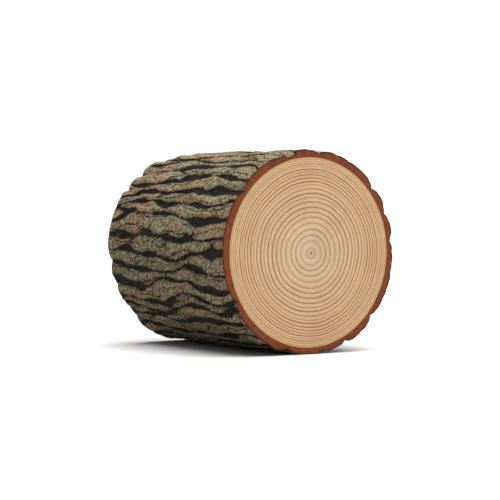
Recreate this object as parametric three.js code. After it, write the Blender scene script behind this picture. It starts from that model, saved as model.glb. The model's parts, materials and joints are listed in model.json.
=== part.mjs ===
// A short round log of firewood, sawn square at both ends and still in its bark, lying on its side.
// Millimetres, +Z up. The log's axis runs along Y: its front sawn end faces -Y, its back end +Y.
// The origin lies on the surface that the log rests on, under the pith and halfway along the log.
import * as THREE from "three";

const LENGTH = 338; // between the two sawn faces
const CREST_RADIUS = 151; // from the pith to the crest of the bark ridges
const FURROW_DEPTH = 4.2; // of a furrow at its widest, below the ridges beside it
const FURROW_HALF_WIDTH = 4.5; // of a furrow at its widest
const SHOULDER_DROP = 0.8; // how far the shoulders of a ridge lie below its crest
const CREST_UNEVENNESS = 0.8; // the most that a ridge dips along its length
const CLEFT_DEPTH = 3; // of the clefts that part the whole outline into broad lobes
const FLAT_HALF_WIDTH = 28; // of the strip underneath where the log's weight has pressed the ridges flat

const LANES = 44; // furrows side by side around the log
const LOBES = 11; // broad lobes around the log
const ROWS = 20; // steps along the log
const FULL_TURN = 2 * Math.PI;
const LANE_ANGLE = FULL_TURN / LANES;
const PITH_HEIGHT = Math.sqrt(CREST_RADIUS ** 2 - FLAT_HALF_WIDTH ** 2);
const DOWN = -Math.PI / 2; // the direction of ridge 0, around the log's axis

const BARK_COLOUR = 0x6a5546;
const BARK_ROUGHNESS = 0.9;
const BARK_METALNESS = 0;

// A number from 0 to 1 that is always the same for the same lane and purpose.
function chance(lane, purpose) {
  const value = Math.sin(lane * 12.9898 + purpose * 78.233) * 43758.5453;
  return value - Math.floor(value);
}

function smoothstep(low, high, value) {
  const t = THREE.MathUtils.clamp((value - low) / (high - low), 0, 1);
  return t * t * (3 - 2 * t);
}

// A slow wave along the log, from -1 to 1, with its own length and start for each lane.
function wave(lane, purpose, shortest, longest, along) {
  const length = THREE.MathUtils.lerp(shortest, longest, chance(lane, purpose));
  return Math.sin(FULL_TURN * (along / length + chance(lane, purpose + 1)));
}

// Furrow number lane lies between the ridges lane and lane + 1.
function furrow(lane, along) {
  const n = (lane + LANES) % LANES;
  const sway = 0.24 * wave(n, 1, 130, 230, along) + 0.08 * wave(n, 3, 60, 90, along);
  const open = smoothstep(-0.75, 0.1, wave(n, 5, 110, 190, along));
  return {
    angle: DOWN + (lane + 0.5 + sway) * LANE_ANGLE,
    halfAngle: ((0.35 + 0.65 * open) * FURROW_HALF_WIDTH) / CREST_RADIUS,
    depth: FURROW_DEPTH * open,
  };
}

// How far the crest of a ridge lies below the fullest part of its lobe; the clefts wander along the log.
function cleft(lane, along) {
  const swell = Math.sin(Math.PI * ((LOBES * lane) / LANES + 0.5 + 0.35 * wave(0, 9, 150, 260, along)));
  return CLEFT_DEPTH * (1 - Math.abs(swell)) ** 2;
}

function crestRadius(lane, along) {
  const dip = 0.5 + 0.5 * wave(lane % LANES, 7, 90, 170, along);
  return CREST_RADIUS - CREST_UNEVENNESS * dip - cleft(lane, along);
}

// One lane's outline where the log is cut at a point along it: a ridge's crest and shoulder,
// the floor of the furrow after it and the shoulder of the next ridge.
function laneOutline(lane, along) {
  const before = furrow(lane - 1, along);
  const after = furrow(lane, along);
  const crest = crestRadius(lane, along);
  const nextCrest = crestRadius(lane + 1, along);
  const start = before.angle + before.halfAngle;
  const end = after.angle - after.halfAngle;
  return [
    [(start + end) / 2, crest],
    [end, crest - SHOULDER_DROP],
    [after.angle, Math.min(crest, nextCrest) - SHOULDER_DROP - after.depth],
    [after.angle + after.halfAngle, nextCrest - SHOULDER_DROP],
  ];
}

function outline(along) {
  const points = [];
  for (let lane = 0; lane < LANES; lane++) points.push(...laneOutline(lane, along));
  return points;
}

// A closed cylinder whose rings are moved onto the log's outlines; the middle of each end stays at the pith.
function logGeometry() {
  const outlines = [];
  for (let row = 0; row <= ROWS; row++) outlines.push(outline(LENGTH * (row / ROWS - 0.5)));
  const columns = outlines[0].length;
  const geometry = new THREE.CylinderGeometry(CREST_RADIUS, CREST_RADIUS, LENGTH, columns, ROWS);
  const position = geometry.getAttribute("position");
  const point = new THREE.Vector3();
  for (let i = 0; i < position.count; i++) {
    point.fromBufferAttribute(position, i);
    if (Math.hypot(point.x, point.z) < CREST_RADIUS / 2) continue;
    const row = Math.round((point.y / LENGTH + 0.5) * ROWS);
    const turn = (Math.atan2(point.z, point.x) - DOWN) / FULL_TURN + 1;
    const [angle, radius] = outlines[row][Math.round(turn * columns) % columns];
    const height = Math.max(radius * Math.sin(angle), -PITH_HEIGHT);
    position.setXYZ(i, radius * Math.cos(angle), point.y, height);
  }
  geometry.translate(0, 0, PITH_HEIGHT);
  geometry.computeVertexNormals();
  return geometry;
}

function log() {
  const bark = new THREE.MeshStandardMaterial({
    color: BARK_COLOUR,
    roughness: BARK_ROUGHNESS,
    metalness: BARK_METALNESS,
    flatShading: true,
  });
  const mesh = new THREE.Mesh(logGeometry(), bark);
  mesh.name = "log";
  return mesh;
}

const woodLog = new THREE.Group();
woodLog.add(log());

export default woodLog;
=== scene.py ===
import json
import math

import bmesh
import bpy
import numpy as np
from bpy.props import FloatProperty, FloatVectorProperty, IntProperty, PointerProperty
from mathutils import Matrix, Vector, noise


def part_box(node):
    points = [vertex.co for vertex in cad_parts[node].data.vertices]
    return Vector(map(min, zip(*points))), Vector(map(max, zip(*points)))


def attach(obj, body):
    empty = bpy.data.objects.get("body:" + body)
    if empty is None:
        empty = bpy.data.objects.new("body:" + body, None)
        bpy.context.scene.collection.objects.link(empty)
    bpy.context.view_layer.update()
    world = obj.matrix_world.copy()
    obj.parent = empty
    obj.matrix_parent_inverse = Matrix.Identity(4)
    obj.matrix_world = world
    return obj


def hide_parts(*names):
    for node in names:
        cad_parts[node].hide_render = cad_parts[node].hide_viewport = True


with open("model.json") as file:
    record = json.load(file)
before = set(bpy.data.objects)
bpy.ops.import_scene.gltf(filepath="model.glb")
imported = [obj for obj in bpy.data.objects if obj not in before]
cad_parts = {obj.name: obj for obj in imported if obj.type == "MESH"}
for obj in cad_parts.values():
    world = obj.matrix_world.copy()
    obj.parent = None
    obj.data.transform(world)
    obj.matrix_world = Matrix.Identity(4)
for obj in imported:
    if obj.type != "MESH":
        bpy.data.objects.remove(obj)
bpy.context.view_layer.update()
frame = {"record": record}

bl_info = {
    "name": "Wood Log",
    "version": (1, 0, 0),
    "blender": (4, 5, 0),
    "location": "View3D > Sidebar > Wood Log",
    "description": "A sawn round log in its bark, with growth rings on both ends",
    "category": "Add Mesh",
}

# ---------------------------------------------------------------------------
# What the frame says: the log lies along Y, its front sawn end at the lowest Y
# ---------------------------------------------------------------------------

LOG_LOW, LOG_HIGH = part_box("log")
MOUNTS = {mount["name"]: mount for mount in frame["record"]["mounts"]}
PITH = Vector(MOUNTS["front_end"]["pos_m"])
LOG_LENGTH = LOG_HIGH.y - LOG_LOW.y
MIDDLE_Y = (LOG_HIGH.y + LOG_LOW.y) / 2
CREST_RADIUS = (LOG_HIGH.x - LOG_LOW.x) / 2
GIRTH = 2 * math.pi * CREST_RADIUS
LYING = Matrix.Translation((PITH.x, MIDDLE_Y, PITH.z)) @ Matrix.Rotation(math.pi / 2, 4, "X")
TO_PITH = Matrix.Translation((-PITH.x, 0, -PITH.z))

# ---------------------------------------------------------------------------
# Fixed values, in metres unless the comment says otherwise
# ---------------------------------------------------------------------------

# Meshes: numbers of faces
BARK_FACES_AROUND = 640
BARK_FACES_ALONG = 144
RIM_FACE_RINGS = 4
WOOD_FACES_AROUND = 256
WOOD_FACE_RINGS = 60  # across each sawn face, with the fan round the pith as the last
FLOOR_SIDES = 96

# Furrows and cracks: where they run
PLATE_SPREAD = 0.45  # how far plates stray from their brick pattern, as a share of a plate's width
FLAKE_SPREAD = 0.6  # the same for the flakes that the finer cracks part
LENGTHWISE_SPREAD = 1.6  # how much further they stray along the log
ROWS_COUNTED = 61  # of plates in a column, before two plates could share a number
CROSSING_STARTS = 0.16  # how steeply an edge may run across the log before its furrow narrows
CROSSING_ENDS = 0.46  # how steeply it runs where the furrow is only a crack
WIDE_SWAY = 0.60  # of the furrows from side to side, as a share of a plate's width
CLOSE_SWAY = 0.22
END_DRIFT = 0.014  # of the plates' ends along the log
FLAKES_PER_PLATE = 1.5  # side by side
FLAKE_LENGTH = 0.6  # as a share of a plate's
FLAKE_CRACK = 0.0003
FLAKE_OPENING = 0.0012
FLAKE_SWAY = 1.3  # how much more the finer cracks sway than the furrows
FLAKE_DRIFT = -2  # and how much more their flakes' ends wander, the other way
LEAST_GAPE = 0.14  # of the tightest furrow, as a share of its full width
TIGHT_BELOW = -0.26  # value of the gape's noise below which a furrow is at its tightest
OPEN_ABOVE = 0.42
FURROW_RAGGEDNESS = 0.0014
CRACK_RAGGEDNESS = 0.0006

# The bark's relief: how high and how deep
BARK_THICKNESS = 0.0125  # from the wood to the bark's crests
CREST_ROOM = 0.0004  # how far the mean crest stands above the highest allowed, before it is cut level
PLATE_STEP = 0.0012  # between the highest plate and the lowest
FLAKE_STEP = 0.0005
SHOULDER_DROP = 0.0014  # from a plate's crest to its edge
SHOULDER_WIDTH = 0.0035
SLOPE_WIDTH = 0.0022  # of a furrow's sloping side
PLATE_EDGE = 0.003  # width of a plate's edge that has no flakes
SPLIT_DEPTH = 0.0008  # of the finer cracks
SPLIT_WIDTH = 0.0016
SCALE_HEIGHT = 0.0006  # of the scales on a plate
FIBRE_HEIGHT = 0.0005
RIM_RELIEF = 0.35  # share of the relief that is left where the saw cut through
RIM_WIDTH = 0.012  # width of the strip where the relief fades toward the saw cut
CLEFT_SHARE = 0.32  # of the lobes' noise that lies inside a cleft
CLEFT_FADE = 0.6  # share of a cleft's depth that is gone away from the ends
CLEFT_REACH = 0.05  # how far from the ends it is gone
CHIP_TURN = 0.464  # where the chip is, as a share of a turn from the underside
CHIP_HALF_WIDTH = 0.012
CHIP_LENGTH = 0.016
TOP_LIT_STRIP = 0.02  # height of the topmost strip, which is painted lightest, as if lit from above

# Growth rings
RING_WOBBLE = 0.012  # how far a ring strays from round, as a share of the wood's radius
CROWDING = 3.5  # how suddenly the rings get closer near the bark

# Bake maps
BAKE_MAP = "OFBake"
SQUARE_TO_AXIS = 0.999  # least lengthwise part of the normal of a sawn face
MAP_GAP = 0.005  # between the parts of the bark's map
BARK_MAP_SIDE = 0.7  # metres of bark from side to side of its map
RIM_STRIP = 0.022  # width of each half rim's strip
INNER_WALL_DEPTH = 0.011  # below the crests, past which a face belongs to the hidden inner wall
INNER_WALL_PLACE = 0.1  # from the first strip to the inner wall
INNER_WALL_SHARE_ALONG = 0.2  # at which the inner wall is drawn
INNER_WALL_SHARE_ROUND = 0.7
DISC_RADIUS = 0.285  # of each sawn face, as a share of the wood's map
FRONT_DISC = 0.293  # its middle, across and up
BACK_DISC = 0.707
SIDE_WALL_ACROSS = 0.8  # where the hidden side wall starts in the wood's map
SIDE_WALL_UP = 0.1
SIDE_WALL_SHARE = 0.5  # at which its length is drawn
SIDE_WALL_HALF_HEIGHT = 0.08

# Stage
FLOOR_GAP = 0.0002  # keeps the floor clear of the flat strip that the log lies on
OVERHEAD_FROM = (0.11, -0.1, 1.0)
OVERHEAD_SPREAD = 80  # degrees
FRONT_FROM = (0.62, -1.0, 0.35)
FRONT_SPREAD = 50  # degrees
BACKDROP_BRIGHTNESS = 1.1
VIEW_REACH = 200.0  # how far the camera sees


def shade(red, green, blue):
    """A colour given on a 0 to 255 scale, as the linear colour that the shaders work in."""
    return tuple(((c / 255 + 0.055) / 1.055) ** 2.4 for c in (red, green, blue))


# ---------------------------------------------------------------------------
# The sizes and colours that a user would change
# ---------------------------------------------------------------------------


class BarkSettings(bpy.types.PropertyGroup):
    """The bark's sizes and colours"""

    plates_around: IntProperty(
        name="Plates Around", description="Ridges of bark side by side around the log",
        default=40, min=8, max=80)
    plate_length: FloatProperty(
        name="Plate Length", description="Usual length of one plate of bark along the log",
        default=0.135, unit="LENGTH")
    furrow_width: FloatProperty(
        name="Furrow Width", description="Width of a wide-open furrow",
        default=0.0114, unit="LENGTH")
    furrow_depth: FloatProperty(
        name="Furrow Depth", description="Depth of a wide-open furrow below the plates' crests",
        default=0.0042, unit="LENGTH")
    crack_width: FloatProperty(
        name="Crack Width", description="Width of the hairline cracks that join the furrows",
        default=0.0014, unit="LENGTH")
    lobe_depth: FloatProperty(
        name="Lobe Depth", description="Depth of the clefts between the outline's broad lobes",
        default=0.0066, unit="LENGTH")
    chip_depth: FloatProperty(
        name="Chip Depth", description="Depth of the chip knocked off the front edge, beside the top",
        default=0.0066, unit="LENGTH")
    wood_radius: FloatProperty(
        name="Wood Radius", description="Radius of the wood inside the bark",
        default=CREST_RADIUS - BARK_THICKNESS, unit="LENGTH")
    lichen_colour: FloatVectorProperty(
        name="Lichen Colour", description="Grey-green film on the weathered plates",
        subtype="COLOR", size=3, default=shade(135, 129, 100))
    bark_colour: FloatVectorProperty(
        name="Bark Colour", description="Brown of the weathered plates",
        subtype="COLOR", size=3, default=shade(143, 124, 97))
    rust_colour: FloatVectorProperty(
        name="Rust Colour", description="Orange-brown where a flake has come off lately",
        subtype="COLOR", size=3, default=shade(153, 121, 92))
    # Partly painted shade: the furrows and cracks take this near-black colour, partly their own dark
    # colour and partly painted shade.
    furrow_colour_and_shade: FloatVectorProperty(
        name="Furrow Colour", description="Dark floor of the furrows and cracks",
        subtype="COLOR", size=3, default=shade(33, 29, 23))
    section_colour: FloatVectorProperty(
        name="Sawn Bark Colour", description="Red-brown of the bark where the saw cut it",
        subtype="COLOR", size=3, default=shade(121, 65, 37))
    edge_colour: FloatVectorProperty(
        name="Sawn Bark Edge Colour", description="Darker corky line round the sawn bark",
        subtype="COLOR", size=3, default=shade(62, 38, 31))


class WoodSettings(bpy.types.PropertyGroup):
    """The growth rings and the wood's colours"""

    inner_rings: FloatProperty(
        name="Inner Rings", description="Growth rings for a full radius at the spacing beside the pith",
        default=15.0)
    outer_rings: FloatProperty(
        name="Outer Rings", description="Growth rings that the closer spacing near the bark adds",
        default=7.5)
    pith_offset: FloatProperty(
        name="Pith Offset", description="How far growth has left the pith off the wood's middle",
        default=0.0018, unit="LENGTH")
    heart_colour: FloatVectorProperty(
        name="Heart Colour", description="Pale earlywood round the pith",
        subtype="COLOR", size=3, default=shade(198, 173, 139))
    sap_colour: FloatVectorProperty(
        name="Sap Colour", description="Earlywood near the bark",
        subtype="COLOR", size=3, default=shade(201, 167, 129))
    ring_colour: FloatVectorProperty(
        name="Ring Colour", description="Darker latewood lines",
        subtype="COLOR", size=3, default=shade(116, 66, 14))


class StageSettings(bpy.types.PropertyGroup):
    """The camera, the floor and the light"""

    azimuth: FloatProperty(
        name="Azimuth", description="Direction of the camera; 0 looks straight at the front end",
        subtype="ANGLE", default=math.radians(-34.54))
    elevation: FloatProperty(
        name="Elevation", description="Height of the camera as an angle above the horizon",
        subtype="ANGLE", default=math.radians(1.8))
    distance: FloatProperty(
        name="Distance", description="From the camera to the front end's pith",
        default=2.806, unit="LENGTH")
    lens: FloatProperty(
        name="Lens", description="Focal length",
        default=138.6, unit="CAMERA")
    aim_right: FloatProperty(
        name="Aim Right", description="How far right of the pith the camera aims",
        default=-0.0876, unit="LENGTH")
    aim_up: FloatProperty(
        name="Aim Up", description="How far above the pith the camera aims",
        default=0.0037, unit="LENGTH")
    floor_radius: FloatProperty(
        name="Floor Radius", description="Radius of the round studio floor",
        default=40.0, unit="LENGTH")
    floor_colour: FloatVectorProperty(
        name="Floor Colour", description="Pale studio floor",
        subtype="COLOR", size=3, default=(0.88, 0.88, 0.88))
    bounce_colour: FloatVectorProperty(
        name="Bounce Colour", description="What the floor throws back at the log",
        subtype="COLOR", size=3, default=(0.69, 0.68, 0.66))
    overhead_light: FloatProperty(
        name="Overhead Light", description="Strength of the wide light above",
        default=4.5, min=0)
    front_light: FloatProperty(
        name="Front Light", description="Strength of the light before the sawn face",
        default=1.05, min=0)
    fill_light: FloatProperty(
        name="Fill Light", description="Strength of the even light from all round",
        default=0.18, min=0)


# ---------------------------------------------------------------------------
# Number helpers
# ---------------------------------------------------------------------------


def smoothstep(low, high, value):
    t = np.clip((value - low) / (high - low), 0.0, 1.0)
    return t * t * (3 - 2 * t)


def chance(i, j, purpose):
    """Numbers from 0 to 1 that are always the same for the same plate and purpose."""
    value = np.sin(i * 12.9898 + j * 78.233 + purpose * 37.719) * 43758.5453
    return value - np.floor(value)


def soft_noise(points, size, stretch=1.0, octaves=1, start=0.0):
    """Smooth noise from about -1 to 1: features are `size` metres across and `stretch` times as long."""
    scaled = points / (size, size * stretch, size) + start
    if octaves == 1:
        return np.array([noise.noise(p) for p in scaled.tolist()])
    return np.array([noise.fractal(p, 1.0, 2.0, octaves) for p in scaled.tolist()])


def turns_of(points):
    """How far round the log each point lies, from 0 to 1, starting underneath."""
    return np.arctan2(points[:, 0] - PITH.x, points[:, 2] - PITH.z) / (2 * math.pi) + 0.5


# ---------------------------------------------------------------------------
# The network of furrows and cracks that parts the bark into plates
# ---------------------------------------------------------------------------


def plate_centres(turn, along, around, length, spread):
    """The plates near each point: their numbers, centres and squared distances from the point.

    Plates stand in a brick pattern: `around` columns round the log, each plate `length` long.
    """
    u = turn * around
    v = along / length
    columns = np.floor(u)
    rows = np.floor(v)
    found = []
    for beside in range(-2, 3):
        column = columns + beside
        number = np.mod(column, around)
        lift = 0.5 * np.mod(number, 2)
        for over in range(-2, 3):
            row = rows + over
            centre_u = column + 0.5 + spread * (chance(number, row, 1) - 0.5)
            centre_v = row + 0.5 + lift + LENGTHWISE_SPREAD * spread * (chance(number, row, 2) - 0.5)
            apart = (u - centre_u) ** 2 + (v - centre_v) ** 2
            found.append((number * ROWS_COUNTED + row, centre_u, centre_v, apart))
    return [np.stack(part) for part in zip(*found)]


def plate_network(turn, along, around, length, spread, crack, opening):
    """How far each point lies outside the nearest furrow, and a number from 0 to 1 for its plate.

    The distance is in metres and negative inside a furrow. Plates are parted by cracks; those that run
    along the log open into furrows as wide as `opening` says.
    """
    names, centre_u, centre_v, apart = plate_centres(turn, along, around, length, spread)
    here = np.argmin(apart, axis=0)
    each = np.arange(apart.shape[1])
    width = GIRTH / around
    across = (centre_u - centre_u[here, each]) / width
    lengthwise = (centre_v - centre_v[here, each]) / length
    steepness = np.hypot(across, lengthwise)
    steepness[here, each] = 1.0
    distance = (apart - apart[here, each]) / 2 / steepness
    crossing = smoothstep(CROSSING_STARTS, CROSSING_ENDS, np.abs(lengthwise) / steepness)
    to_edge = distance - crack / 2 - (1 - crossing) * opening / 2
    to_edge[here, each] = 1.0
    own_name = names[here, each]
    return np.min(to_edge, axis=0), chance(own_name, own_name * 0.37, 5)


def furrows_and_cracks(points, turn, along, settings):
    """How far each point lies from the nearest furrow and finer crack, and its plate and flake."""
    around = settings.plates_around
    sway = WIDE_SWAY * soft_noise(points, 0.060, stretch=1.7)
    sway += CLOSE_SWAY * soft_noise(points, 0.020, stretch=1.8, start=7.0)
    drift = END_DRIFT * soft_noise(points, 0.040, start=19.0)
    ragged = soft_noise(points, 0.0075, stretch=1.5, octaves=4, start=31.0)
    openness = smoothstep(TIGHT_BELOW, OPEN_ABOVE, soft_noise(points, 0.019, stretch=2.6, start=103.0))
    gape = LEAST_GAPE + (1 - LEAST_GAPE) * openness
    to_furrow, plate = plate_network(
        turn + sway / around, along + drift, around, settings.plate_length,
        PLATE_SPREAD, settings.crack_width, gape * settings.furrow_width)
    to_crack, flake = plate_network(
        turn + FLAKE_SWAY * sway / around, along + FLAKE_DRIFT * drift, FLAKES_PER_PLATE * around,
        FLAKE_LENGTH * settings.plate_length, FLAKE_SPREAD, FLAKE_CRACK, FLAKE_OPENING)
    return to_furrow + FURROW_RAGGEDNESS * ragged, to_crack + CRACK_RAGGEDNESS * ragged, plate, flake


def plate_height(points, to_furrow, to_crack, plate, flake, furrow_depth):
    """How far the surface of plates, flakes and furrows stands above the mean crest."""
    shoulder = SHOULDER_DROP * np.exp(-np.maximum(to_furrow, 0) / SHOULDER_WIDTH)
    plunge = (furrow_depth - SHOULDER_DROP) * (1 - np.exp(np.minimum(to_furrow, 0) / SLOPE_WIDTH))
    on_plate = smoothstep(0.0, PLATE_EDGE, to_furrow)
    split = SPLIT_DEPTH * (1 - smoothstep(0.0, SPLIT_WIDTH, to_crack))
    scales = SCALE_HEIGHT * soft_noise(points, 0.014, stretch=2.0, octaves=3, start=43.0)
    height = PLATE_STEP * (plate - 0.5) + on_plate * FLAKE_STEP * (flake - 0.5)
    height += on_plate * (scales - split)
    height += FIBRE_HEIGHT * soft_noise(points, 0.004, stretch=2.5, start=57.0)
    return height - shoulder - plunge


def cleft_depth(points, to_end, lobe_depth):
    """How deep the clefts between the outline's lobes are; they are deepest at the sawn ends."""
    lobe = np.minimum(np.abs(soft_noise(points, 0.058, stretch=2.5, start=74.0)) / CLEFT_SHARE, 1.0)
    return lobe_depth * (1 - lobe) ** 2 * (1 - CLEFT_FADE * smoothstep(0.0, CLEFT_REACH, to_end))


def bark_relief(points, settings):
    """The bark's surface over a tube of CREST_RADIUS: its radius, and the values that colour it."""
    turn = turns_of(points)
    along = points[:, 1]
    to_furrow, to_crack, plate, flake = furrows_and_cracks(points, turn, along, settings)
    to_end = np.minimum(along - LOG_LOW.y, LOG_HIGH.y - along)
    inland = RIM_RELIEF + (1 - RIM_RELIEF) * smoothstep(0.0, RIM_WIDTH, to_end)
    height = inland * plate_height(points, to_furrow, to_crack, plate, flake, settings.furrow_depth)
    height -= cleft_depth(points, to_end, settings.lobe_depth)
    from_chip = np.hypot(
        (turn - CHIP_TURN) * GIRTH / CHIP_HALF_WIDTH,
        (along - LOG_LOW.y) / CHIP_LENGTH)
    height -= settings.chip_depth * (1 - smoothstep(0.5, 1.0, from_chip))
    radius = np.minimum(CREST_RADIUS + CREST_ROOM + height, CREST_RADIUS)
    return radius, to_furrow, to_crack, plate


# ---------------------------------------------------------------------------
# Mesh helpers
# ---------------------------------------------------------------------------


def open_tube(bm, radius, around, along):
    """A tube round the pith from the front end to the back, with `around` by `along` faces."""
    bmesh.ops.create_cone(
        bm, cap_ends=False, segments=around, radius1=radius, radius2=radius,
        depth=LOG_LENGTH, matrix=LYING)
    lengthwise = [edge for edge in bm.edges if edge.calc_length() > LOG_LENGTH / 2]
    if along > 1:
        bmesh.ops.subdivide_edges(bm, edges=lengthwise, cuts=along - 1)


def turn_in(bm, side, start, end, rings):
    """Carries the tube's open edge at one end flat across the sawn face, from one radius to another."""
    rim = [
        edge for edge in bm.edges
        if edge.is_boundary and (edge.verts[0].co.y - MIDDLE_Y) * side > 0
    ]
    radii = np.linspace(start, end, rings + 1)
    for before, after in zip(radii, radii[1:]):
        made = bmesh.ops.extrude_edge_only(bm, edges=rim)["geom"]
        verts = [part for part in made if isinstance(part, bmesh.types.BMVert)]
        rim = [part for part in made if isinstance(part, bmesh.types.BMEdge) and part.is_boundary]
        share = after / before
        bmesh.ops.scale(bm, vec=(share, 1, share), space=TO_PITH, verts=verts)
    return rim


def vertex_points(mesh):
    points = np.empty(len(mesh.vertices) * 3)
    mesh.vertices.foreach_get("co", points)
    return points.reshape(-1, 3)


def move_vertices(mesh, points):
    mesh.vertices.foreach_set("co", points.ravel())
    mesh.update()


def store_values(mesh, name, values):
    """A named number at each vertex, which a material can read."""
    attribute = mesh.attributes.new(name, "FLOAT", "POINT")
    attribute.data.foreach_set("value", values.astype(np.float32))


def finish_piece(name, bm, materials):
    """Makes the mesh an object of the log, drawn in place of the log's solid."""
    mesh = bpy.data.meshes.new(name)
    bm.to_mesh(mesh)
    bm.free()
    piece = bpy.data.objects.new(name, mesh)
    bpy.context.scene.collection.objects.link(piece)
    for material in materials:
        mesh.materials.append(material)
    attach(piece, "root")
    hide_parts("log")
    return piece


# ---------------------------------------------------------------------------
# Shader helpers and the effects that more than one material uses
# ---------------------------------------------------------------------------


def add_node(tree, kind, inputs=None, **settings):
    """A node with its settings made and its inputs given a value or linked to another node's output."""
    made = tree.nodes.new(kind)
    for name, value in settings.items():
        setattr(made, name, value)
    for socket, value in (inputs or {}).items():
        if isinstance(value, bpy.types.NodeSocket):
            tree.links.new(value, made.inputs[socket])
        else:
            made.inputs[socket].default_value = value
    return made


def maths(tree, operation, first, second=0.0):
    return add_node(tree, "ShaderNodeMath", {0: first, 1: second}, operation=operation).outputs[0]


def product(tree, first, *others):
    for other in others:
        first = maths(tree, "MULTIPLY", first, other)
    return first


def fade(tree, value, start, end, to_start=0.0, to_end=1.0):
    """A smooth change from to_start to to_end while value goes from start to end."""
    made = add_node(
        tree, "ShaderNodeMapRange",
        {"Value": value, "From Min": start, "From Max": end, "To Min": to_start, "To Max": to_end},
        interpolation_type="SMOOTHSTEP")
    return made.outputs["Result"]


def blend_colours(tree, factor, first, second, blend_type="MIX"):
    """Its sockets are found by number, because the Mix node repeats their names for each type."""
    made = add_node(
        tree, "ShaderNodeMix", {0: factor, 6: first, 7: second},
        data_type="RGBA", blend_type=blend_type)
    return made.outputs[2]


def tint(tree, colour, factor):
    """The colour multiplied by a value or another colour."""
    return blend_colours(tree, 1.0, colour, factor, "MULTIPLY")


def opaque(colour):
    return (*colour, 1.0)


def new_group(name, inputs, outputs):
    """An empty shader group with its sockets, and its input and output nodes."""
    tree = bpy.data.node_groups.new(name, "ShaderNodeTree")
    for label, kind, default in inputs:
        socket = tree.interface.new_socket(name=label, in_out="INPUT", socket_type=kind)
        if default is not None:
            socket.default_value = default
    for label, kind in outputs:
        tree.interface.new_socket(name=label, in_out="OUTPUT", socket_type=kind)
    return tree, tree.nodes.new("NodeGroupInput").outputs, tree.nodes.new("NodeGroupOutput")


def grain_group():
    """Fibres and grit: fine noise drawn out along the log, for colour and for bump."""
    tree, given, out = new_group(
        "Wood Grain",
        [("Vector", "NodeSocketVector", None), ("Fibre Size", "NodeSocketFloat", 400.0),
         ("Grit Size", "NodeSocketFloat", 900.0), ("Stretch", "NodeSocketFloat", 0.2),
         ("Slant", "NodeSocketFloat", 0.0)],
        [("Fibre", "NodeSocketFloat"), ("Grit", "NodeSocketFloat")])
    turned = add_node(
        tree, "ShaderNodeVectorRotate",
        {"Vector": given["Vector"], "Axis": (1.0, 0.0, 0.0), "Angle": given["Slant"]},
        rotation_type="AXIS_ANGLE").outputs[0]
    parts = add_node(tree, "ShaderNodeSeparateXYZ", {0: turned}).outputs
    drawn = add_node(
        tree, "ShaderNodeCombineXYZ",
        {"X": parts["X"], "Y": maths(tree, "MULTIPLY", parts["Y"], given["Stretch"]), "Z": parts["Z"]})
    fibre = add_node(
        tree, "ShaderNodeTexNoise",
        {"Vector": drawn.outputs[0], "Scale": given["Fibre Size"], "Detail": 3.0, "Roughness": 0.6})
    grit = add_node(
        tree, "ShaderNodeTexNoise",
        {"Vector": given["Vector"], "Scale": given["Grit Size"], "Detail": 2.0, "Roughness": 0.7})
    tree.links.new(fibre.outputs["Fac"], out.inputs["Fibre"])
    tree.links.new(grit.outputs["Fac"], out.inputs["Grit"])
    return tree


def mottle_group():
    """Two colours in cloudy patches."""
    tree, given, out = new_group(
        "Mottled Colours",
        [("Vector", "NodeSocketVector", None), ("Patch Scale", "NodeSocketFloat", 30.0),
         ("Balance", "NodeSocketFloat", 0.5), ("Softness", "NodeSocketFloat", 0.1),
         ("First", "NodeSocketColor", None), ("Second", "NodeSocketColor", None)],
        [("Color", "NodeSocketColor")])
    cloud = add_node(
        tree, "ShaderNodeTexNoise",
        {"Vector": given["Vector"], "Scale": given["Patch Scale"], "Detail": 4.0, "Roughness": 0.62})
    low = maths(tree, "SUBTRACT", given["Balance"], given["Softness"])
    high = maths(tree, "ADD", given["Balance"], given["Softness"])
    patch = fade(tree, cloud.outputs["Fac"], low, high)
    mixed = blend_colours(tree, patch, given["First"], given["Second"])
    tree.links.new(mixed, out.inputs["Color"])
    return tree


def use_group(tree, name, make, inputs):
    """Places the named group in a material, and makes it first if it isn't there yet."""
    group = bpy.data.node_groups.get(name) or make()
    return add_node(tree, "ShaderNodeGroup", inputs, node_tree=group).outputs


def new_material(name, roughness, specular):
    """A material, its tree and its Principled surface."""
    material = bpy.data.materials.new(name)
    material.use_nodes = True
    surface = material.node_tree.nodes["Principled BSDF"]
    surface.inputs["Roughness"].default_value = roughness
    surface.inputs["Specular IOR Level"].default_value = specular
    return material, material.node_tree, surface


def object_place(tree):
    return add_node(tree, "ShaderNodeTexCoord").outputs["Object"]


def read_value(tree, name):
    """The number that store_values put at each vertex."""
    made = add_node(tree, "ShaderNodeAttribute", attribute_name=name, attribute_type="GEOMETRY")
    return made.outputs["Fac"]


def grain(tree, place, fibre_size, grit_size, stretch, slant):
    return use_group(
        tree, "Wood Grain", grain_group,
        {"Vector": place, "Fibre Size": fibre_size, "Grit Size": grit_size,
         "Stretch": stretch, "Slant": slant})


def mottle(tree, place, first, second, scale, balance, softness):
    outputs = use_group(
        tree, "Mottled Colours", mottle_group,
        {"Vector": place, "Patch Scale": scale, "Balance": balance, "Softness": softness,
         "First": first, "Second": second})
    return outputs["Color"]


def set_bump(tree, surface, height, distance):
    bump = add_node(tree, "ShaderNodeBump", {"Height": height, "Distance": distance})
    tree.links.new(bump.outputs["Normal"], surface.inputs["Normal"])


# ---------------------------------------------------------------------------
# Materials
# ---------------------------------------------------------------------------

MIDDLE_NOISE = (0.34, 0.66)  # the span that most of a noise texture's values lie in
NEARLY_ALL_NOISE = (0.25, 0.75)
WHITE = (1.0, 1.0, 1.0, 1.0)
SMUDGE = (0.93, 0.90, 0.88, 1.0)


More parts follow.
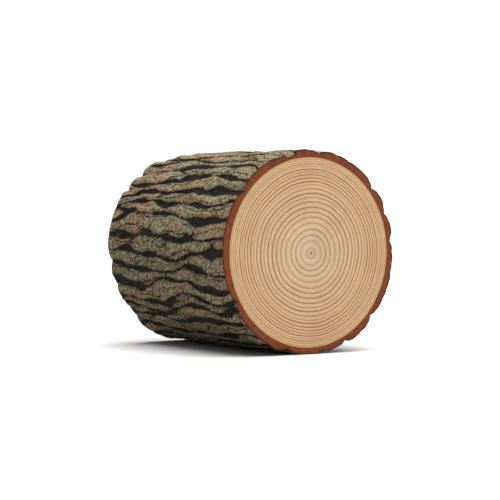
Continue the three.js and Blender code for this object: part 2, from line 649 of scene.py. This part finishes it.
def bark_tone_and_painted_light(tree, place, fine):
    """How bright the plates are: each has its own tone, grit and streaks, with painted shade beside the
    furrows, and painted light that makes them darker low down and lighter toward the top.
    """
    own = fade(tree, read_value(tree, "plate"), 0.0, 1.0, to_start=0.88, to_end=1.12)
    speckle = fade(tree, fine["Grit"], *MIDDLE_NOISE, to_start=0.34, to_end=1.66)
    streak = fade(tree, fine["Fibre"], *MIDDLE_NOISE, to_start=0.50, to_end=1.50)
    # Painted shade: the plates are darkened beside the furrows, where shade falls.
    painted_shade_by_furrows = fade(tree, read_value(tree, "to_furrow"), 0.0, 0.0045, to_start=0.72, to_end=1.0)
    height = add_node(tree, "ShaderNodeSeparateXYZ", {0: place}).outputs["Z"]
    # Painted light: the plates are darker below the pith's height and lighter toward the top, as if lit
    # from above.
    top_lit_height = LOG_HIGH.z - TOP_LIT_STRIP
    painted_top_light = fade(tree, height, PITH.z, top_lit_height, to_start=0.84, to_end=1.08)
    return product(tree, own, speckle, streak, painted_shade_by_furrows, painted_top_light)


def furrow_colour_and_shade_mask(tree, fine):
    """How much of the furrows' near-black colour, partly painted shade, covers each spot: 1 inside the
    furrows, a little less in the finer cracks and 0 on the plates, with gritty edges.
    """
    edge = product(tree, maths(tree, "SUBTRACT", fine["Grit"], 0.5), 0.0030)
    to_furrow = maths(tree, "ADD", read_value(tree, "to_furrow"), edge)
    to_crack = maths(tree, "ADD", read_value(tree, "to_crack"), edge)
    # Partly painted shade: the furrows and finer cracks are filled with the near-black colour, partly
    # their own and partly painted shade.
    furrow = fade(tree, to_furrow, -0.0005, 0.0010, to_start=1.0, to_end=0.0)
    crack = fade(tree, to_crack, -0.0001, 0.0007, to_start=0.9, to_end=0.0)
    return maths(tree, "MAXIMUM", furrow, crack)


def bark_material(settings):
    """Weathered plates of grey-green and brown, gritty and fibrous, with painted shade beside the furrows
    and painted light toward the top, over furrows coloured nearly black, partly as painted shade.
    """
    material, tree, surface = new_material("Weathered Bark", roughness=0.9, specular=0.2)
    place = object_place(tree)
    fine = grain(tree, place, fibre_size=320.0, grit_size=430.0, stretch=0.3, slant=0.6)
    lichened = mottle(
        tree, place, opaque(settings.bark_colour), opaque(settings.lichen_colour),
        scale=22.0, balance=0.5, softness=0.14)
    rusty = mottle(
        tree, place, lichened, opaque(settings.rust_colour),
        scale=17.0, balance=0.56, softness=0.10)
    plates = tint(tree, rusty, bark_tone_and_painted_light(tree, place, fine))
    floor_streak = fade(tree, fine["Fibre"], *MIDDLE_NOISE, to_start=0.2, to_end=2.0)
    floor = tint(tree, opaque(settings.furrow_colour_and_shade), floor_streak)
    coloured = blend_colours(tree, furrow_colour_and_shade_mask(tree, fine), plates, floor)
    tree.links.new(coloured, surface.inputs["Base Color"])
    relief = maths(tree, "ADD", fine["Grit"], product(tree, fine["Fibre"], 1.4))
    set_bump(tree, surface, relief, distance=0.0023)
    return material


def section_material(settings):
    """Bark where the saw cut through it: red-brown, fine, with a darker corky line outside."""
    material, tree, surface = new_material("Sawn Bark", roughness=0.85, specular=0.1)
    place = object_place(tree)
    fine = grain(tree, place, fibre_size=420.0, grit_size=1100.0, stretch=1.0, slant=0.0)
    darker = tuple(0.74 * c for c in settings.section_colour)
    body = mottle(
        tree, place, opaque(settings.section_colour), opaque(darker),
        scale=70.0, balance=0.55, softness=0.14)
    toned = tint(tree, body, fade(tree, fine["Fibre"], *NEARLY_ALL_NOISE, to_start=0.86, to_end=1.14))
    wander = product(tree, maths(tree, "SUBTRACT", fine["Fibre"], 0.5), 0.0015)
    inward = maths(tree, "ADD", read_value(tree, "inward"), wander)
    line = fade(tree, inward, 0.0004, 0.0036, to_start=0.9, to_end=0.0)
    coloured = blend_colours(tree, line, toned, opaque(settings.edge_colour))
    tree.links.new(coloured, surface.inputs["Base Color"])
    set_bump(tree, surface, fine["Grit"], distance=0.0003)
    return material


def latewood_profile(tree, ring):
    """How dark the wood is, from 0 to 1: each year darkens slowly, ends at once, and some are bolder."""
    ramp = add_node(tree, "ShaderNodeValToRGB", {"Fac": maths(tree, "FRACT", ring)})
    stops = ramp.color_ramp.elements
    stops[0].position = 0.0
    stops[0].color = (0.55, 0.55, 0.55, 1.0)
    stops[1].position = 1.0
    stops[1].color = (0.60, 0.60, 0.60, 1.0)
    for position, value in ((0.07, 0.06), (0.30, 0.0), (0.72, 0.16), (0.88, 1.0)):
        stops.new(position).color = (value, value, value, 1.0)
    year = add_node(
        tree, "ShaderNodeTexWhiteNoise", {"W": maths(tree, "FLOOR", ring)}, noise_dimensions="1D")
    boldness = fade(tree, year.outputs["Value"], 0.0, 1.0, to_start=0.5, to_end=1.0)
    return product(tree, ramp.outputs["Color"], boldness)


def end_grain_material(settings):
    """Sawn end grain: pale earlywood that darkens to a thin latewood line in each growth ring."""
    material, tree, surface = new_material("Sawn End Grain", roughness=0.7, specular=0.2)
    place = object_place(tree)
    fine = grain(tree, place, fibre_size=260.0, grit_size=900.0, stretch=1.0, slant=0.0)
    out = read_value(tree, "from_pith")
    earlywood = blend_colours(
        tree, fade(tree, out, 0.05, 0.8), opaque(settings.heart_colour), opaque(settings.sap_colour))
    latewood = latewood_profile(tree, read_value(tree, "ring"))
    bold_outside_pith = fade(tree, out, 0.05, 0.5, to_start=0.62, to_end=0.90)
    bold_near_bark = fade(tree, out, 0.45, 0.8, to_start=1.0, to_end=1.4)
    ringed = blend_colours(
        tree, product(tree, latewood, bold_outside_pith, bold_near_bark),
        earlywood, opaque(settings.ring_colour))
    smudges = mottle(tree, place, WHITE, SMUDGE, scale=18.0, balance=0.56, softness=0.12)
    sawdust = fade(tree, fine["Grit"], *NEARLY_ALL_NOISE, to_start=0.92, to_end=1.08)
    toned = tint(tree, tint(tree, ringed, smudges), sawdust)
    halo = fade(tree, out, 0.008, 0.04, to_start=0.35, to_end=0.0)
    haloed = blend_colours(tree, halo, toned, opaque(settings.ring_colour))
    pith = fade(tree, out, 0.005, 0.020, to_start=0.8, to_end=0.0)
    pith_colour = tuple(0.6 * c for c in settings.ring_colour)
    tree.links.new(
        blend_colours(tree, pith, haloed, opaque(pith_colour)), surface.inputs["Base Color"])
    set_bump(tree, surface, latewood, distance=0.0002)
    return material


def floor_material(settings):
    """Pale to the camera, and duller in the light that it throws back up at the log."""
    material, tree, surface = new_material("Studio Floor", roughness=0.9, specular=0.1)
    seen = add_node(tree, "ShaderNodeLightPath").outputs["Is Camera Ray"]
    colour = blend_colours(tree, seen, opaque(settings.bounce_colour), opaque(settings.floor_colour))
    tree.links.new(colour, surface.inputs["Base Color"])
    return material


# ---------------------------------------------------------------------------
# Bake maps: each piece opened out flat, so that a picture baked from it is spread evenly
# ---------------------------------------------------------------------------


def face_corners(mesh):
    """The vertex of each face corner, and the number of its face."""
    vertex = np.empty(len(mesh.loops), dtype=np.int64)
    mesh.loops.foreach_get("vertex_index", vertex)
    totals = np.empty(len(mesh.polygons), dtype=np.int64)
    mesh.polygons.foreach_get("loop_total", totals)
    return vertex, np.repeat(np.arange(len(totals)), totals)


def face_means(face, corner_values):
    return np.bincount(face, corner_values) / np.bincount(face)


def find_sawn_faces(mesh):
    """The flat faces that look straight along the log."""
    normals = np.empty(len(mesh.polygons) * 3)
    mesh.polygons.foreach_get("normal", normals)
    return np.abs(normals.reshape(-1, 3)[:, 1]) > SQUARE_TO_AXIS


def set_bake_map(mesh, across, up):
    layer = mesh.uv_layers.new(name=BAKE_MAP)
    layer.data.foreach_set("uv", np.column_stack((across, up)).ravel().astype(np.float32))


def half_turns(turn, face):
    """How far round the log each face corner lies from the start of its half, and which half it is in."""
    astride = np.abs(turn - face_means(face, turn)[face]) > 0.25  # of the seam underneath
    turn = np.where(astride & (turn < 0.5), turn + 1, turn)
    half = np.floor(2 * face_means(face, turn)[face])
    return GIRTH * (turn - half / 2), np.mod(half, 2)


def map_bark(mesh):
    """The tube in two halves, one above the other; beside them the half rims and the inner wall."""
    vertex, face = face_corners(mesh)
    points = vertex_points(mesh)[vertex]
    along = points[:, 1] - LOG_LOW.y
    reach = np.hypot(points[:, 0] - PITH.x, points[:, 2] - PITH.z)
    round_half, half = half_turns(turns_of(points), face)
    across = MAP_GAP + round_half
    up = MAP_GAP + half * (LOG_LENGTH + MAP_GAP) + along

    beside = GIRTH / 2 + 3 * MAP_GAP
    sawn = find_sawn_faces(mesh)[face]
    strip = 2 * (points[:, 1] > MIDDLE_Y) + half
    across = np.where(sawn, beside + strip * RIM_STRIP + (CREST_RADIUS - reach), across)
    up = np.where(sawn, MAP_GAP + round_half, up)
    wall = ~sawn & (face_means(face, reach)[face] < CREST_RADIUS - INNER_WALL_DEPTH)
    wall_across = beside + INNER_WALL_PLACE + INNER_WALL_SHARE_ALONG * along
    wall_up = MAP_GAP + INNER_WALL_SHARE_ROUND * (round_half + half * GIRTH / 2)
    across = np.where(wall, wall_across, across)
    up = np.where(wall, wall_up, up)
    set_bake_map(mesh, across / BARK_MAP_SIDE, up / BARK_MAP_SIDE)


def map_wood(mesh, wood_radius):
    """The two sawn faces as discs in opposite corners, and the hidden side wall in a third corner."""
    vertex, face = face_corners(mesh)
    x, y, z = vertex_points(mesh)[vertex].T
    centre = np.where(y > MIDDLE_Y, BACK_DISC, FRONT_DISC)
    across = centre + DISC_RADIUS * (x - PITH.x) / wood_radius
    up = centre + DISC_RADIUS * (z - PITH.z) / wood_radius
    wall = ~find_sawn_faces(mesh)[face]
    across = np.where(wall, SIDE_WALL_ACROSS + SIDE_WALL_SHARE * (y - LOG_LOW.y), across)
    up = np.where(wall, SIDE_WALL_UP + SIDE_WALL_HALF_HEIGHT * (z - PITH.z) / wood_radius, up)
    set_bake_map(mesh, across, up)


# ---------------------------------------------------------------------------
# Operators
# ---------------------------------------------------------------------------


class WOODLOG_OT_add_bark(bpy.types.Operator):
    """Add the furrowed bark, sawn through at both ends"""

    bl_idname = "woodlog.add_bark"
    bl_label = "Add Bark"

    def execute(self, context):
        settings = context.scene.wood_log_bark
        bm = bmesh.new()
        open_tube(bm, CREST_RADIUS, BARK_FACES_AROUND, BARK_FACES_ALONG)
        front = turn_in(bm, -1, CREST_RADIUS, settings.wood_radius, RIM_FACE_RINGS)
        back = turn_in(bm, 1, CREST_RADIUS, settings.wood_radius, RIM_FACE_RINGS)
        bmesh.ops.bridge_loops(bm, edges=front + back)
        bmesh.ops.recalc_face_normals(bm, faces=bm.faces[:])
        materials = [bark_material(settings), section_material(settings)]
        piece = finish_piece("bark", bm, materials)
        shape_bark(piece.data, settings)
        return {"FINISHED"}


def shape_bark(mesh, settings):
    """Moves the tube onto the bark's relief, presses the underside flat and marks the sawn faces."""
    points = vertex_points(mesh)
    axis = np.array(PITH)
    out = points - axis
    out[:, 1] = 0
    reach = np.linalg.norm(out, axis=1)
    direction = out / reach[:, None]
    on_tube = axis + direction * CREST_RADIUS
    on_tube[:, 1] = points[:, 1]
    radius, to_furrow, to_crack, plate = bark_relief(on_tube, settings)
    inward = (CREST_RADIUS - reach) / (CREST_RADIUS - settings.wood_radius)
    moved = radius + (settings.wood_radius - radius) * inward
    points[:, 0] = axis[0] + direction[:, 0] * moved
    points[:, 2] = np.maximum(axis[2] + direction[:, 2] * moved, 0)
    move_vertices(mesh, points)
    store_values(mesh, "to_furrow", to_furrow)
    store_values(mesh, "to_crack", to_crack)
    store_values(mesh, "plate", plate)
    store_values(mesh, "inward", radius - moved)
    sawn = find_sawn_faces(mesh)
    mesh.polygons.foreach_set("material_index", sawn.astype(np.int32))
    mesh.polygons.foreach_set("use_smooth", ~sawn)
    map_bark(mesh)


class WOODLOG_OT_add_wood(bpy.types.Operator):
    """Add the wood inside the bark, with growth rings on both sawn faces"""

    bl_idname = "woodlog.add_wood"
    bl_label = "Add Wood"

    def execute(self, context):
        settings = context.scene.wood_log_wood
        radius = context.scene.wood_log_bark.wood_radius
        bm = bmesh.new()
        open_tube(bm, radius, WOOD_FACES_AROUND, along=1)
        for side in (-1, 1):
            eye = turn_in(bm, side, radius, radius / WOOD_FACE_RINGS, WOOD_FACE_RINGS - 1)
            middle = bmesh.ops.holes_fill(bm, edges=eye, sides=0)["faces"]
            bmesh.ops.poke(bm, faces=middle)
        bmesh.ops.recalc_face_normals(bm, faces=bm.faces[:])
        piece = finish_piece("wood", bm, [end_grain_material(settings)])
        shape_wood(piece.data, settings, radius)
        return {"FINISHED"}


def shape_wood(mesh, settings, wood_radius):
    """Counts the growth rings out from the pith."""
    points = vertex_points(mesh)
    across = points[:, 0] - PITH.x
    up = points[:, 2] - PITH.z
    out = np.hypot(across, up) / wood_radius
    shift = settings.pith_offset * (1 - out) ** 2
    grown = np.hypot(across - shift, up + 0.5 * shift) / wood_radius
    wobble = RING_WOBBLE * soft_noise(points, 0.07, octaves=2, start=3.0) * smoothstep(0.0, 0.3, out)
    grown = np.clip(grown + wobble * (1 - smoothstep(0.85, 1.0, out)), 0, 1)
    years = settings.inner_rings * grown + settings.outer_rings * grown**CROWDING
    good_and_bad_years = 0.08 * np.sin(1.9 * years) + 0.035 * np.sin(4.3 * years + 1.0)
    store_values(mesh, "ring", years + good_and_bad_years)
    store_values(mesh, "from_pith", grown)
    map_wood(mesh, wood_radius)


class WOODLOG_OT_add_stage(bpy.types.Operator):
    """Add the pale floor, the soft studio light and the camera"""

    bl_idname = "woodlog.add_stage"
    bl_label = "Add Stage"

    def execute(self, context):
        settings = context.scene.wood_log_stage
        add_floor(settings)
        add_camera(settings)
        add_soft_light("overhead light", OVERHEAD_FROM, OVERHEAD_SPREAD, settings.overhead_light)
        add_soft_light("front light", FRONT_FROM, FRONT_SPREAD, settings.front_light)
        add_surroundings(settings)
        context.scene.view_settings.view_transform = "Standard"
        return {"FINISHED"}


def add_floor(settings):
    bm = bmesh.new()
    below = Matrix.Translation((0, 0, -FLOOR_GAP))
    bmesh.ops.create_circle(
        bm, cap_ends=True, radius=settings.floor_radius, segments=FLOOR_SIDES, matrix=below)
    mesh = bpy.data.meshes.new("floor")
    bm.to_mesh(mesh)
    bm.free()
    mesh.materials.append(floor_material(settings))
    floor = bpy.data.objects.new("floor", mesh)
    bpy.context.scene.collection.objects.link(floor)


def add_surroundings(settings):
    """White all round for the camera, and a weak even fill light on the log."""
    world = bpy.data.worlds.new("Studio")
    world.use_nodes = True
    tree = world.node_tree
    seen = add_node(tree, "ShaderNodeLightPath").outputs["Is Camera Ray"]
    strength = fade(tree, seen, 0.0, 1.0, settings.fill_light, BACKDROP_BRIGHTNESS)
    background = tree.nodes["Background"]
    background.inputs["Color"].default_value = WHITE
    tree.links.new(strength, background.inputs["Strength"])
    bpy.context.scene.world = world


def look_along(obj, position, target):
    obj.location = position
    obj.rotation_euler = (Vector(target) - Vector(position)).to_track_quat("-Z", "Y").to_euler()


def add_camera(settings):
    right = Vector((math.cos(settings.azimuth), math.sin(settings.azimuth), 0))
    outward = Vector((math.sin(settings.azimuth), -math.cos(settings.azimuth), 0))
    back = outward * math.cos(settings.elevation) + Vector((0, 0, math.sin(settings.elevation)))
    data = bpy.data.cameras.new("camera")
    data.lens = settings.lens
    data.clip_end = VIEW_REACH
    camera = bpy.data.objects.new("camera", data)
    bpy.context.scene.collection.objects.link(camera)
    target = PITH + right * settings.aim_right + Vector((0, 0, settings.aim_up))
    look_along(camera, PITH + back * settings.distance, target)
    bpy.context.scene.camera = camera


def add_soft_light(name, direction, spread, strength):
    """A wide far light that comes from a direction, even all over the floor; spread in degrees."""
    data = bpy.data.lights.new(name, "SUN")
    data.angle = math.radians(spread)
    data.energy = strength
    lamp = bpy.data.objects.new(name, data)
    bpy.context.scene.collection.objects.link(lamp)
    look_along(lamp, direction, (0, 0, 0))


# ---------------------------------------------------------------------------
# Panel and registration
# ---------------------------------------------------------------------------

STEPS = (WOODLOG_OT_add_bark, WOODLOG_OT_add_wood, WOODLOG_OT_add_stage)
SETTINGS = {
    "wood_log_bark": BarkSettings,
    "wood_log_wood": WoodSettings,
    "wood_log_stage": StageSettings,
}


class VIEW3D_PT_wood_log(bpy.types.Panel):
    """The log's pieces and their sizes and colours"""

    bl_label = "Wood Log"
    bl_idname = "VIEW3D_PT_wood_log"
    bl_space_type = "VIEW_3D"
    bl_region_type = "UI"
    bl_category = "Wood Log"

    def draw(self, context):
        for step, (group_name, group) in zip(STEPS, SETTINGS.items()):
            box = self.layout.box()
            box.operator(step.bl_idname)
            for name in group.__annotations__:
                box.prop(getattr(context.scene, group_name), name)


CLASSES = (*SETTINGS.values(), *STEPS, VIEW3D_PT_wood_log)


def register():
    for cls in CLASSES:
        bpy.utils.register_class(cls)
    for name, group in SETTINGS.items():
        setattr(bpy.types.Scene, name, PointerProperty(type=group))


def unregister():
    for name in SETTINGS:
        delattr(bpy.types.Scene, name)
    for cls in reversed(CLASSES):
        bpy.utils.unregister_class(cls)


def main():
    register()
    bpy.ops.woodlog.add_bark()
    bpy.ops.woodlog.add_wood()
    bpy.ops.woodlog.add_stage()


if __name__ == "__main__":
    main()
